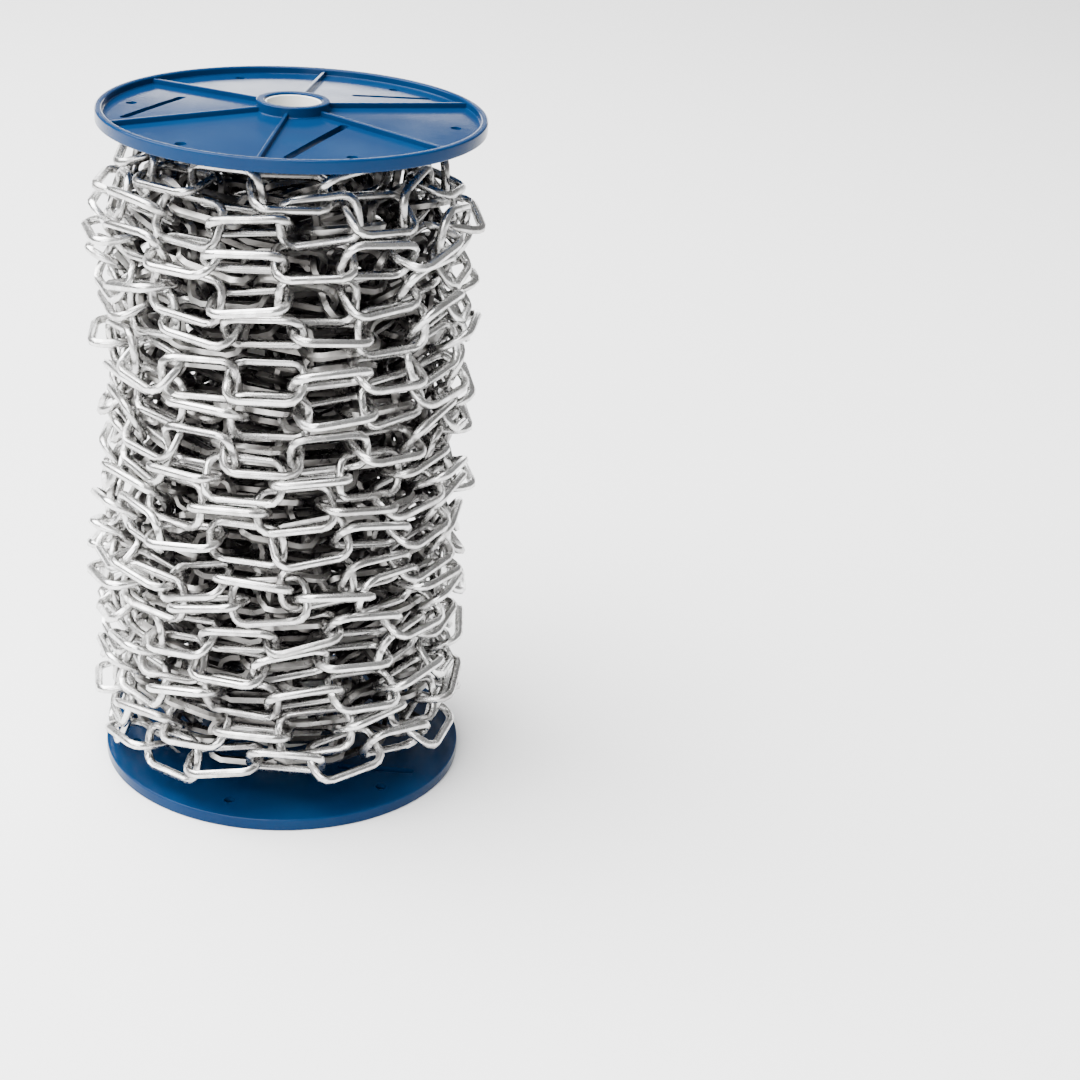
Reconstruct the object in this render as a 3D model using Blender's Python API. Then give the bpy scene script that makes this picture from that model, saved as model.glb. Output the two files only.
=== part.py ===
"""A reel of long-link steel chain that stands on its end.

Two moulded flanges sit on a light tube. Chain is wound between them, with flat links and links on
edge taking turns along the chain. The frame has +Z up the reel's axis and the floor at Z = 0.
"""

import math

import bmesh
import bpy
from mathutils import Matrix, Vector

# Chain, in metres. The wire is square here, with the section area of 4.5 mm round wire
WIRE = 0.004
LINK_INSIDE = 0.032
LINK_WIDTH = 0.026
LINKS_PER_TURN = 17
LINK_COUNT = 295
WINDING_START_ANGLE = 180.0
# The lowest rows sit higher on the reel's front, and this fades out with height
FRONT_LIFT = 0.007
FRONT_LIFT_ANGLE = 280.0
FRONT_LIFT_FADE = 0.150

# Reel, in metres
REEL_HEIGHT = 0.350
FLANGE_RADIUS = 0.095
FLANGE_THICKNESS = 0.0065
WEB_THICKNESS = 0.003
RIM_WIDTH = 0.0035
RIM_CHAMFER = 0.0008
HUB_RADIUS = 0.018
HUB_HOLE_RADIUS = 0.014
SPIGOT_LENGTH = 0.010
TOP_COLLAR = 0.005
# The top flange's web rises by this much from its rim to its hub
TOP_DISH = 0.0035
TUBE_WALL = 0.003
GAP = 0.0003
ROUND_SIDES = 48

# Ribs, tie holes and tie slots of a flange, with angles in degrees about the axis
RIB_COUNT = 6
RIB_FIRST_ANGLE = 20.0
RIB_WIDTH = 0.0018
RIB_SETBACK = 0.001
RIB_BITE = 0.0008
HOLE_COUNT = 6
HOLE_FIRST_ANGLE = 50.0
HOLE_CIRCLE = 0.84 * FLANGE_RADIUS
HOLE_RADIUS = 0.00275
HOLE_SIDES = 10
SLOT_WIDTH = 0.0045
# Each slot runs from its outer end to its inner end: radius as a share of the flange, then angle
SLOTS = (
    ((0.87, 191.0), (0.63, 154.0)),
    ((0.85, 268.0), (0.37, 316.0)),
    ((0.87, 33.0), (0.52, 54.0)),
)

# Sizes that follow
HALF_WIRE = WIRE / 2
INSIDE_HALF_LENGTH = LINK_INSIDE / 2
INSIDE_HALF_WIDTH = LINK_WIDTH / 2 - WIRE
CORNER_CUT = INSIDE_HALF_WIDTH - HALF_WIRE
MITRE = math.tan(math.pi / 8)
OUTSIDE_CORNER = INSIDE_HALF_LENGTH - CORNER_CUT + WIRE * MITRE
LINK_ANGLE = 2 * math.pi / LINKS_PER_TURN
WINDING_RADIUS = LINK_INSIDE / (2 * math.sin(LINK_ANGLE / 2))
WINDING_LOW = FLANGE_THICKNESS + GAP
WINDING_HEIGHT = REEL_HEIGHT - 2 * WINDING_LOW
TURNS = math.ceil(LINK_COUNT / LINKS_PER_TURN)
CORNER_SHARE = OUTSIDE_CORNER / LINK_INSIDE
LINK_CLIMB = (WINDING_HEIGHT - LINK_WIDTH) / (LINK_COUNT - 1 + 2 * CORNER_SHARE)
TUBE_INSIDE = HUB_RADIUS + GAP
TUBE_OUTSIDE = TUBE_INSIDE + TUBE_WALL
CORE_OUTSIDE = WINDING_RADIUS * math.cos(LINK_ANGLE / 2) - LINK_WIDTH / 2 - GAP
UP = Vector((0, 0, 1))


def clear_scene():
    """Remove every object that the file starts with."""
    for found in list(bpy.data.objects):
        bpy.data.objects.remove(found, do_unlink=True)


def make_material(name, color, roughness, metallic):
    """Give a plain finish of one colour."""
    material = bpy.data.materials.new(name)
    material.use_nodes = True
    shader = material.node_tree.nodes["Principled BSDF"]
    shader.inputs["Base Color"].default_value = (*color, 1.0)
    shader.inputs["Roughness"].default_value = roughness
    shader.inputs["Metallic"].default_value = metallic
    material.diffuse_color = (*color, 1.0)
    return material


def add_object(name, mesh_in_work, material):
    """Turn a finished bmesh into a named object with its faces pointing out."""
    bmesh.ops.recalc_face_normals(mesh_in_work, faces=mesh_in_work.faces)
    mesh = bpy.data.meshes.new(name)
    mesh_in_work.to_mesh(mesh)
    mesh_in_work.free()
    mesh.materials.append(material)
    result = bpy.data.objects.new(name, mesh)
    bpy.context.collection.objects.link(result)
    return result


def shade_round(turned):
    """Shade a turned piece smooth, with its corners kept sharp."""
    turned.data.shade_smooth()
    turned.data.set_sharp_from_angle(angle=math.radians(30))


def spin_profile(profile, sides):
    """Turn a closed profile of (radius, height) points about the Z axis."""
    work = bmesh.new()
    corners = [work.verts.new((radius, 0, height)) for radius, height in profile]
    edges = [work.edges.new((corners[i - 1], corners[i])) for i in range(len(corners))]
    bmesh.ops.spin(work, geom=corners + edges, cent=(0, 0, 0), axis=(0, 0, 1),
                   angle=2 * math.pi, steps=sides, use_merge=True)
    bmesh.ops.remove_doubles(work, verts=work.verts, dist=1e-6)
    return work


def polar(radius, degrees):
    """Place a point of a plan by its radius and its angle about the axis."""
    angle = math.radians(degrees)
    return Vector((radius * math.cos(angle), radius * math.sin(angle), 0))


def add_bar(work, start, end, width, low, high_start, high_end):
    """Add a straight bar between two points of a plan, with a level underside and an even top."""
    along = (end - start).normalized()
    side = Vector((-along.y, along.x, 0)) * width / 2
    plan = (start - side, end - side, end + side, start + side)
    highs = (high_start, high_end, high_end, high_start)
    floor = [work.verts.new((point.x, point.y, low)) for point in plan]
    roof = [work.verts.new((point.x, point.y, high)) for point, high in zip(plan, highs)]
    work.faces.new(reversed(floor))
    work.faces.new(roof)
    for i in range(4):
        work.faces.new((floor[i - 1], floor[i], roof[i], roof[i - 1]))


def flange_profile(collar, dish):
    """Half section of a flange with its outer side up at 0: rim lip and hub stand out of a thin web."""
    web_outer = WEB_THICKNESS - FLANGE_THICKNESS
    rim_inside = FLANGE_RADIUS - RIM_WIDTH
    spigot_end = -FLANGE_THICKNESS - SPIGOT_LENGTH
    return (
        (HUB_HOLE_RADIUS, collar),
        (HUB_RADIUS, collar),
        (HUB_RADIUS, web_outer + dish),
        (rim_inside, web_outer),
        (rim_inside, 0.0),
        (FLANGE_RADIUS - RIM_CHAMFER, 0.0),
        (FLANGE_RADIUS, -RIM_CHAMFER),
        (FLANGE_RADIUS, -FLANGE_THICKNESS),
        (HUB_RADIUS, -FLANGE_THICKNESS),
        (HUB_RADIUS, spigot_end),
        (HUB_HOLE_RADIUS, spigot_end),
    )


def make_ribs(dish):
    """Radial ribs on the outer side of the web, let into the hub, the rim and the web."""
    work = bmesh.new()
    web_outer = WEB_THICKNESS - FLANGE_THICKNESS
    for i in range(RIB_COUNT):
        angle = RIB_FIRST_ANGLE + i * 360 / RIB_COUNT
        start = polar(HUB_RADIUS - RIB_BITE, angle)
        end = polar(FLANGE_RADIUS - RIM_WIDTH + RIB_BITE, angle)
        add_bar(work, start, end, RIB_WIDTH, web_outer - RIB_BITE, dish - RIB_SETBACK, -RIB_SETBACK)
    return work


def make_openings():
    """Cutters for the tie holes and tie slots, longer than the web is thick."""
    work = bmesh.new()
    low, high = -2 * FLANGE_THICKNESS, FLANGE_THICKNESS
    for i in range(HOLE_COUNT):
        center = polar(HOLE_CIRCLE, HOLE_FIRST_ANGLE + i * 360 / HOLE_COUNT)
        made = bmesh.ops.create_cone(work, cap_ends=True, segments=HOLE_SIDES,
                                     radius1=HOLE_RADIUS, radius2=HOLE_RADIUS, depth=high - low)
        bmesh.ops.translate(work, verts=made["verts"], vec=center + UP * (low + high) / 2)
    for (outer_share, outer_angle), (inner_share, inner_angle) in SLOTS:
        outer = polar(outer_share * FLANGE_RADIUS, outer_angle)
        inner = polar(inner_share * FLANGE_RADIUS, inner_angle)
        add_bar(work, outer, inner, SLOT_WIDTH, low, high, high)
    return work


def add_boolean(target, tool, operation):
    """Join or cut a piece with a guide object that stays out of the model."""
    tool.hide_render = True
    tool.display_type = "WIRE"
    modifier = target.modifiers.new(tool.name, "BOOLEAN")
    modifier.operation = operation
    modifier.solver = "EXACT"
    modifier.object = tool


def place_flange(work, at_top):
    """Raise a flange's work to the top of the reel, or turn it over to stand on the floor."""
    if at_top:
        bmesh.ops.translate(work, verts=work.verts, vec=UP * REEL_HEIGHT)
    else:
        half_turn = Matrix.Rotation(math.pi, 3, "X")
        bmesh.ops.rotate(work, verts=work.verts, cent=(0, 0, 0), matrix=half_turn)
    return work


def make_flange(name, material, collar, dish, at_top):
    """One moulded flange with its hub, rim lip, ribs, tie holes and tie slots."""
    disc = place_flange(spin_profile(flange_profile(collar, dish), ROUND_SIDES), at_top)
    flange = add_object(name, disc, material)
    ribs = add_object(name + "_rib_guide", place_flange(make_ribs(dish), at_top), material)
    openings = add_object(name + "_cutter", place_flange(make_openings(), at_top), material)
    add_boolean(flange, ribs, "UNION")
    add_boolean(flange, openings, "DIFFERENCE")
    shade_round(flange)


def make_sleeve(name, material, inside, outside, sides):
    """A plain tube between the inner faces of the two flanges."""
    low, high = WINDING_LOW, REEL_HEIGHT - WINDING_LOW
    profile = ((inside, low), (outside, low), (outside, high), (inside, high))
    shade_round(add_object(name, spin_profile(profile, sides), material))


def link_outline(offset):
    """Octagon of one link in its own plane, offset outward from its inside outline."""
    mitre = offset * MITRE
    end_x, end_y = INSIDE_HALF_LENGTH + offset, HALF_WIRE + mitre
    side_x = INSIDE_HALF_LENGTH - CORNER_CUT + mitre
    side_y = INSIDE_HALF_WIDTH + offset
    return (
        (end_x, -end_y), (end_x, end_y), (side_x, side_y), (-side_x, side_y),
        (-end_x, end_y), (-end_x, -end_y), (-side_x, -side_y), (side_x, -side_y),
    )


def joint_angle(index):
    """Angle about the axis of the joint before a link."""
    return math.radians(WINDING_START_ANGLE) + index * LINK_ANGLE


def front_share(index):
    """How far round to the front a joint is: 1 at the front and 0 at the back, with a soft peak."""
    turned = joint_angle(index) - math.radians(FRONT_LIFT_ANGLE)
    return ((1 + math.cos(turned)) / 2) ** 2


def joint_rise(index):
    """Height of a joint above the first: an even climb, and the lift of the low rows on the front."""
    even = index * LINK_CLIMB
    fade = max(0.0, 1 - even / FRONT_LIFT_FADE)
    return even + FRONT_LIFT * fade * (front_share(index) - front_share(0))


def joint_height(index):
    """Height of a joint, with the last link against the top flange."""
    last = WINDING_LOW + WINDING_HEIGHT - LINK_WIDTH / 2 - LINK_CLIMB * (CORNER_SHARE - 0.5)
    return last - joint_rise(LINK_COUNT) + joint_rise(index)


def joint_frame(index):
    """Where two links meet on the helix: the point, and the outward direction there."""
    angle = joint_angle(index)
    outward = Vector((math.cos(angle), math.sin(angle), 0))
    return outward * WINDING_RADIUS + UP * joint_height(index), outward


def link_corners(index, opened_start, opened_end):
    """Corners of one link's wire, as an inner and an outer ring of pairs across its thickness.

    The crown square at each end lies in the radial plane of its joint, where the next link shares
    it. At an opened end the crown stands back by half of the gap between two turns.
    """
    start, start_outward = joint_frame(index)
    end, end_outward = joint_frame(index + 1)
    along = (end - start).normalized()
    outward = (start_outward + end_outward).normalized()
    upward = along.cross(outward)
    upward = upward if upward.z > 0 else -upward
    lies_flat = index % 2 == 0
    across, through = (upward, outward) if lies_flat else (outward, upward)
    middle = (start + end) / 2
    rings = []
    for offset in (0.0, WIRE):
        ring = []
        for corner, (x, y) in enumerate(link_outline(offset)):
            pair = [middle + along * x + across * y + through * z for z in (-HALF_WIRE, HALF_WIRE)]
            if offset == 0.0 and corner in (0, 1, 4, 5):
                at_end = corner in (0, 1)
                crown, crown_outward = (end, end_outward) if at_end else (start, start_outward)
                opened = opened_end if at_end else opened_start
                setback = along * (GAP / 2 if at_end else -GAP / 2) if opened else Vector()
                flat, deep = (UP, crown_outward) if lies_flat else (crown_outward, UP)
                pair = [crown + setback + flat * y + deep * z for z in (-HALF_WIRE, HALF_WIRE)]
            ring.append(pair)
        rings.append(ring)
    return rings


def add_link(work, index, fused_start, fused_end):
    """Add one link, leaving out the crown faces that it shares with its neighbours in the turn."""
    opened_start = not fused_start and index > 0
    opened_end = not fused_end and index < LINK_COUNT - 1
    inner, outer = (
        [[work.verts.new(point) for point in pair] for pair in ring]
        for ring in link_corners(index, opened_start, opened_end)
    )
    skipped = {0} if fused_end else set()
    skipped |= {4} if fused_start else set()
    for i in range(8):
        j = (i + 1) % 8
        work.faces.new((outer[i][0], outer[j][0], outer[j][1], outer[i][1]))
        work.faces.new((outer[i][0], inner[i][0], inner[j][0], outer[j][0]))
        work.faces.new((outer[i][1], outer[j][1], inner[j][1], inner[i][1]))
        if i not in skipped:
            work.faces.new((inner[i][0], inner[i][1], inner[j][1], inner[j][0]))


def make_stretch(name, first, last, material):
    """A stretch of chain: its links are joined where their crowns bear on each other."""
    work = bmesh.new()
    for index in range(first, last + 1):
        add_link(work, index, index > first, index < last)
    bmesh.ops.remove_doubles(work, verts=work.verts, dist=1e-6)
    add_object(name, work, material)


def make_winding(material):
    """The two free end links, each a piece of its own, and the turns between them."""
    end = LINK_COUNT - 1
    make_stretch("chain_first_link", 0, 0, material)
    make_stretch("chain_last_link", end, end, material)
    for turn in range(TURNS):
        first = max(turn * LINKS_PER_TURN, 1)
        last = min((turn + 1) * LINKS_PER_TURN, end) - 1
        make_stretch(f"chain_turn_{turn + 1:02d}", first, last, material)


def main():
    """Build the reel from the floor up."""
    clear_scene()
    blue = make_material("blue_plastic", (0.003, 0.045, 0.14), 0.35, 0.0)
    grey = make_material("grey_plastic", (0.66, 0.66, 0.63), 0.6, 0.0)
    shaded = make_material("shaded_steel", (0.16, 0.16, 0.16), 0.5, 1.0)
    steel = make_material("bright_steel", (0.80, 0.80, 0.79), 0.28, 1.0)
    make_flange("flange_bottom", blue, 0.0, 0.0, False)
    make_flange("flange_top", blue, TOP_COLLAR, TOP_DISH, True)
    make_sleeve("core_tube", grey, TUBE_INSIDE, TUBE_OUTSIDE, ROUND_SIDES)
    make_sleeve("winding_core", shaded, TUBE_OUTSIDE + GAP, CORE_OUTSIDE, 2 * LINKS_PER_TURN)
    make_winding(steel)


main()
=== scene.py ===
"""The looks of a reel of long-link steel chain that stands on end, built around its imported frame.

The two moulded flanges and the tube are turned and finished here. The chain is wound link by link:
every layer starts as an even winding, and its links are then pushed clear of each other until they
lie as the links of a real winding do.
"""

import logging
import math
from dataclasses import dataclass, field
from enum import Enum

import bmesh
import bpy
import numpy as np
from mathutils import Matrix, Vector


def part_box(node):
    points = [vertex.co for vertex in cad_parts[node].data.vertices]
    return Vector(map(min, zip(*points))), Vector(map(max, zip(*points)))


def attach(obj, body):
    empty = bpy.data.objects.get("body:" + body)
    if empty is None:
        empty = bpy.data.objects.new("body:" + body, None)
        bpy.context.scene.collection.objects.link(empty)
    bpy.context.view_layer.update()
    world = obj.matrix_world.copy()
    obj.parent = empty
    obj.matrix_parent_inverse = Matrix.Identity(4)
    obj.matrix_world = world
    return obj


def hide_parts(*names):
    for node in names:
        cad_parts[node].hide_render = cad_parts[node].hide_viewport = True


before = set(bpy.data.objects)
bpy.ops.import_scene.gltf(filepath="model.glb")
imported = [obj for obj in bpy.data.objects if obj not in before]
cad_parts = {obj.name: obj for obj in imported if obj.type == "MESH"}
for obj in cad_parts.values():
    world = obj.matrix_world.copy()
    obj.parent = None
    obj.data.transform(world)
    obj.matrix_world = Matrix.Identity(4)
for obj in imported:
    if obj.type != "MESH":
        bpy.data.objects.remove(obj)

LOG = logging.getLogger("chain_reel")
BODY = "root"
MERGE = 1e-6

Shape = bmesh.types.BMesh
Solid = bpy.types.Object
Material = bpy.types.Material
Socket = bpy.types.NodeSocket
Inputs = dict[str | int, object]
Linear = tuple[float, float, float]
Span = tuple[float, float]
Array = np.ndarray
Links = list[tuple[Array, Array]]


class Side(Enum):
    """Which end of the reel a flange is on."""

    BOTTOM = "bottom"
    TOP = "top"


class Depth(Enum):
    """Whether a layer of chain is the one in sight or lies under it."""

    OUTER = "outer"
    HIDDEN = "hidden"


@dataclass(frozen=True)
class Pattern:
    """A noise pattern: waves for each metre, octaves, and how much the fine octaves count."""

    scale: float
    detail: float
    rough: float


@dataclass(frozen=True)
class Moulded:
    """Coloured plastic as it comes out of a mould, with a faint flow pattern and fine grain.

    The flow pattern leans from the linear colour to the streak's, and spreads the roughness.
    """

    name: str
    colour: Linear
    streak: Linear
    roughness: Span
    specular: float = 0.10
    flow: Pattern = Pattern(22.0, 3.0, 0.55)
    streaked: Span = (0.35, 0.75)
    grain: Pattern = Pattern(900.0, 2.0, 0.5)
    grain_height: float = 0.00005
    grain_strength: float = 0.5

    def material(self) -> Material:
        """Build the finish.

        Returns:
            The node material.
        """
        made = NodeFinish(self.name)
        flow, grain = made.noise(self.flow), made.noise(self.grain)
        streaks = made.ramp(flow, self.streaked)
        return made.surface({
            "Base Color": made.blended(streaks, self.colour, self.streak),
            "Roughness": made.spread(flow, self.roughness),
            "Normal": made.bump(grain, self.grain_height, self.grain_strength),
            "Specular IOR Level": self.specular,
        })


@dataclass(frozen=True)
class PlatedWire:
    """Drawn steel wire, bright plated and duller in patches, with painted shade deep in the
    winding.

    The three linear colours are those of clean plating, of dull patches and of painted shade. The
    painted shade gives way to the plating over a span of distances from the reel's axis.
    """

    name: str
    bright: Linear
    dull: Linear
    # Colour of the painted shade deep in the winding.
    painted_shade: Linear
    roughness: Span
    patches: Pattern = Pattern(160.0, 4.0, 0.6)
    dulled: Span = (0.35, 0.7)
    # Distances from the axis over which the painted shade gives way to the plating.
    shade_fade: Span = (0.068, 0.094)
    drawing: Pattern = Pattern(520.0, 3.0, 0.6)
    drawing_height: float = 0.00006
    drawing_strength: float = 0.35

    def material(self) -> Material:
        """Build the finish.

        Returns:
            The node material.
        """
        made = NodeFinish(self.name)
        patches, drawing = made.noise(self.patches), made.noise(self.drawing)
        dullness = made.add(made.ramp(patches, self.dulled), made.attribute(Winding.TONE))
        plated = made.blended(dullness, self.bright, self.dull)
        # Painted shade: the wire is darkened towards the reel's axis, deep in the winding.
        outward = made.ramp(made.from_axis(), self.shade_fade)
        return made.surface({
            "Base Color": made.blended(outward, self.painted_shade, plated),
            "Roughness": made.spread(patches, self.roughness),
            "Normal": made.bump(drawing, self.drawing_height, self.drawing_strength),
            "Metallic": 1.0,
        })


@dataclass(frozen=True)
class PalePaint:
    """The plain pale floor of the studio, with a linear colour."""

    name: str
    colour: Linear
    roughness: float = 0.9
    specular: float = 0.1

    def material(self) -> Material:
        """Build the finish.

        Returns:
            The node material.
        """
        return NodeFinish(self.name).surface({
            "Base Color": (*self.colour, 1.0),
            "Roughness": self.roughness,
            "Specular IOR Level": self.specular,
        })


class NodeFinish:
    """A small writer of node materials around one Principled BSDF."""

    MIDDLE = (0.3, 0.7)

    def __init__(self, name: str) -> None:
        """Start an empty finish.

        Args:
            name: The material's name.
        """
        self.material = bpy.data.materials.new(name)
        self.material.use_nodes = True
        self.place = self.node("ShaderNodeTexCoord", {}).outputs["Object"]

    def fill(self, node: bpy.types.Node, inputs: Inputs) -> None:
        """Fill inputs of a node.

        Args:
            node: The node.
            inputs: A value, or another node's output, by the input's name or number.
        """
        for key, given in inputs.items():
            if isinstance(given, Socket):
                self.material.node_tree.links.new(given, node.inputs[key])
            else:
                node.inputs[key].default_value = given

    def node(self, kind: str, inputs: Inputs) -> bpy.types.Node:
        """Add a node.

        Args:
            kind: Blender's name for its kind.
            inputs: See fill.

        Returns:
            The node.
        """
        made = self.material.node_tree.nodes.new(kind)
        self.fill(made, inputs)
        return made

    def surface(self, inputs: Inputs) -> Material:
        """Finish the material by filling inputs of its shader."""
        self.fill(self.material.node_tree.nodes["Principled BSDF"], inputs)
        return self.material

    def noise(self, pattern: Pattern) -> Socket:
        """Add a noise pattern on the piece's own coordinates.

        Args:
            pattern: The pattern's values.

        Returns:
            The pattern.
        """
        inputs = {"Vector": self.place, "Scale": pattern.scale, "Detail": pattern.detail,
                  "Roughness": pattern.rough}
        return self.node("ShaderNodeTexNoise", inputs).outputs["Fac"]

    def attribute(self, name: str) -> Socket:
        """Read one of the mesh's own values.

        Args:
            name: The attribute's name.

        Returns:
            The value.
        """
        made = self.node("ShaderNodeAttribute", {})
        made.attribute_name = name
        return made.outputs["Fac"]

    def ramp(self, value: Socket, source: Span, target: Span = (0.0, 1.0)) -> Socket:
        """Map one range of a value onto another, clamped.

        Args:
            value: The value.
            source: The range that it has.
            target: The range that it gets.

        Returns:
            The mapped value.
        """
        inputs = {"Value": value, "From Min": source[0], "From Max": source[1],
                  "To Min": target[0], "To Max": target[1]}
        return self.node("ShaderNodeMapRange", inputs).outputs["Result"]

    def spread(self, value: Socket, target: Span) -> Socket:
        """Spread a pattern's middle range, where most of it lies, over another."""
        return self.ramp(value, self.MIDDLE, target)

    def add(self, first: Socket, second: Socket) -> Socket:
        """Add two values, clamped to 0 to 1.

        Args:
            first: One value.
            second: The other.

        Returns:
            Their sum.
        """
        made = self.node("ShaderNodeMath", {0: first, 1: second})
        made.operation = "ADD"
        made.use_clamp = True
        return made.outputs["Value"]

    def from_axis(self) -> Socket:
        """Measure the distance from the reel's axis.

        Returns:
            The distance in metres.
        """
        flat = self.node("ShaderNodeVectorMath", {0: self.place, 1: (1.0, 1.0, 0.0)})
        flat.operation = "MULTIPLY"
        length = self.node("ShaderNodeVectorMath", {0: flat.outputs["Vector"]})
        length.operation = "LENGTH"
        return length.outputs["Value"]

    def blended(self, share: Socket, first: Linear | Socket, second: Linear | Socket) -> Socket:
        """Blend two colours by a value.

        Args:
            share: How much of the second colour there is.
            first: A linear colour, or a socket that gives one.
            second: A linear colour, or a socket that gives one.

        Returns:
            The blended colour.
        """
        made = self.node("ShaderNodeMix", {"Factor": share})
        made.data_type = "RGBA"
        places = [i for i, found in enumerate(made.inputs) if found.type == "RGBA"]
        for i, given in zip(places, (first, second)):
            self.fill(made, {i: (*given, 1.0) if isinstance(given, tuple) else given})
        return [found for found in made.outputs if found.type == "RGBA"][0]

    def bump(self, value: Socket, height: float, strength: float) -> Socket:
        """Raise the surface by a pattern, with its height in metres."""
        inputs = {"Height": value, "Distance": height, "Strength": strength}
        return self.node("ShaderNodeBump", inputs).outputs["Normal"]


BLUE_PLASTIC = Moulded("blue_plastic", (0.0009, 0.019, 0.067), (0.0013, 0.025, 0.081),
                       roughness=(0.12, 0.22))
GREY_PLASTIC = Moulded("grey_plastic", (0.70, 0.70, 0.67), (0.60, 0.60, 0.57),
                       roughness=(0.52, 0.62))
BRIGHT_STEEL = PlatedWire("bright_steel", (0.86, 0.86, 0.85), (0.46, 0.45, 0.44),
                          (0.20, 0.195, 0.19), roughness=(0.16, 0.36))
# A darker copy of the bright steel for the layers under the outer one: painted shade.
SHADED_STEEL = PlatedWire("shaded_steel", (0.76, 0.75, 0.73), (0.50, 0.49, 0.47),
                          (0.11, 0.105, 0.10), roughness=(0.22, 0.42))
STUDIO_FLOOR = PalePaint("studio_floor", (0.92, 0.92, 0.92))


class Piece:
    """Turns finished bmeshes into pieces of the visual model."""

    PLASTIC_EDGE = 40.0
    WIRE_EDGE = 60.0
    TURNED_SEGMENTS = 3

    @staticmethod
    def make(name: str, work: Shape, material: Material, smooth_degrees: float) -> Solid:
        """Close a bmesh into an object at the origin.

        Args:
            name: The piece's name.
            work: The finished shape, which this frees.
            material: Its finish.
            smooth_degrees: Edges sharper than this stay sharp.

        Returns:
            The linked object.
        """
        mesh = bpy.data.meshes.new(name)
        work.to_mesh(mesh)
        work.free()
        mesh.materials.append(material)
        Piece.shade(mesh, smooth_degrees)
        made = bpy.data.objects.new(name, mesh)
        bpy.context.scene.collection.objects.link(made)
        return made

    @staticmethod
    def shade(mesh: bpy.types.Mesh, smooth_degrees: float) -> None:
        """Shade a mesh smooth, up to its edges that are sharper than an angle."""
        mesh.shade_smooth()
        mesh.set_sharp_from_angle(angle=math.radians(smooth_degrees))

    @staticmethod
    def hand_over(made: Solid, slot: str, *nodes: str) -> None:
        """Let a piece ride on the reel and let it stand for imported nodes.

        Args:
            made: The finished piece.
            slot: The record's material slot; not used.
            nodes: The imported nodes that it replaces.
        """
        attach(made, BODY)
        if nodes:
            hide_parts(*nodes)
        LOG.info("%s: %d faces, stands for %s", made.name, len(made.data.polygons),
                 ", ".join(nodes) or "itself")

    @staticmethod
    def spin(profile: list[tuple[float, float]], rounds: dict[int, float], steps: int) -> Shape:
        """Turn a closed half section about the Z axis.

        Args:
            profile: Corners as (radius, height), in order.
            rounds: Radius of the rounding of each corner that has one, by its place in the profile.
            steps: Number of steps in the full turn.

        Returns:
            The turned shape.
        """
        work = bmesh.new()
        corners = [work.verts.new((radius, 0.0, height)) for radius, height in profile]
        for i in range(len(corners)):
            work.edges.new((corners[i - 1], corners[i]))
        for i, size in rounds.items():
            bmesh.ops.bevel(work, geom=[corners[i]], offset=size, offset_type="OFFSET",
                            segments=Piece.TURNED_SEGMENTS, profile=0.5, affect="VERTICES",
                            material=-1)
        bmesh.ops.spin(work, geom=work.verts[:] + work.edges[:], cent=(0, 0, 0), axis=(0, 0, 1),
                       angle=2 * math.pi, steps=steps, use_merge=True)
        bmesh.ops.remove_doubles(work, verts=work.verts, dist=MERGE)
        bmesh.ops.recalc_face_normals(work, faces=work.faces)
        return work

    @staticmethod
    def block(work: Shape, start: Vector, end: Vector, width: float, low: float,
              tops: Span) -> set[bmesh.types.BMEdge]:
        """Add a straight block whose top may slope.

        Args:
            work: The shape that the block goes into.
            start: Plan point of one end.
            end: Plan point of the other end.
            width: Width across.
            low: Height of its underside.
            tops: Height of its top at the start and at the end.

        Returns:
            The block's edges.
        """
        along = end - start
        made = bmesh.ops.create_cube(work, size=1.0)["verts"]
        for vert in made:
            top = tops[0] if vert.co.x < 0 else tops[1]
            vert.co.z = top if vert.co.z > 0 else low
        turn = Matrix.Rotation(math.atan2(along.y, along.x), 4, "Z")
        size = Matrix.Diagonal((along.length, width, 1.0, 1.0))
        place = Matrix.Translation((start + end) / 2)
        bmesh.ops.transform(work, matrix=place @ turn @ size, verts=made)
        return {edge for vert in made for edge in vert.link_edges}

    @staticmethod
    def round_edges(work: Shape, edges: list[bmesh.types.BMEdge], size: float,
                    segments: int) -> None:
        """Round some edges of a shape."""
        bmesh.ops.bevel(work, geom=edges, offset=size, segments=segments, profile=0.5,
                        affect="EDGES", material=-1)

    @staticmethod
    def even_shading(made: Solid) -> None:
        """Let the large faces of a piece shade flat up to their rounded edges."""
        modifier = made.modifiers.new("even_shading", "WEIGHTED_NORMAL")
        modifier.keep_sharp = True

    @staticmethod
    def combine(target: Solid, tools: list[tuple[Shape, str]]) -> None:
        """Join shapes to a piece, or cut them out of it, and keep the result as its mesh.

        Args:
            target: The piece to change.
            tools: Pairs of a shape, which this frees, and the operation: UNION or DIFFERENCE.
        """
        guides = []
        for work, operation in tools:
            mesh = bpy.data.meshes.new("guide")
            bmesh.ops.recalc_face_normals(work, faces=work.faces)
            work.to_mesh(mesh)
            work.free()
            guide = bpy.data.objects.new("guide", mesh)
            bpy.context.scene.collection.objects.link(guide)
            modifier = target.modifiers.new(operation.lower(), "BOOLEAN")
            modifier.operation = operation
            modifier.solver = "EXACT"
            modifier.object = guide
            guides.append(guide)
        graph = bpy.context.evaluated_depsgraph_get()
        result = bpy.data.meshes.new_from_object(target.evaluated_get(graph))
        target.modifiers.clear()
        target.data = result
        for guide in guides:
            bpy.data.objects.remove(guide, do_unlink=True)


def polar(radius: float, degrees: float) -> Vector:
    """Place a point of a plan by its radius and its angle about the reel's axis."""
    angle = math.radians(degrees)
    return Vector((radius * math.cos(angle), radius * math.sin(angle), 0.0))


def only(kind: type, found: list) -> list:
    """Pick the items of one kind from what an operator made."""
    return [item for item in found if isinstance(item, kind)]


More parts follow.
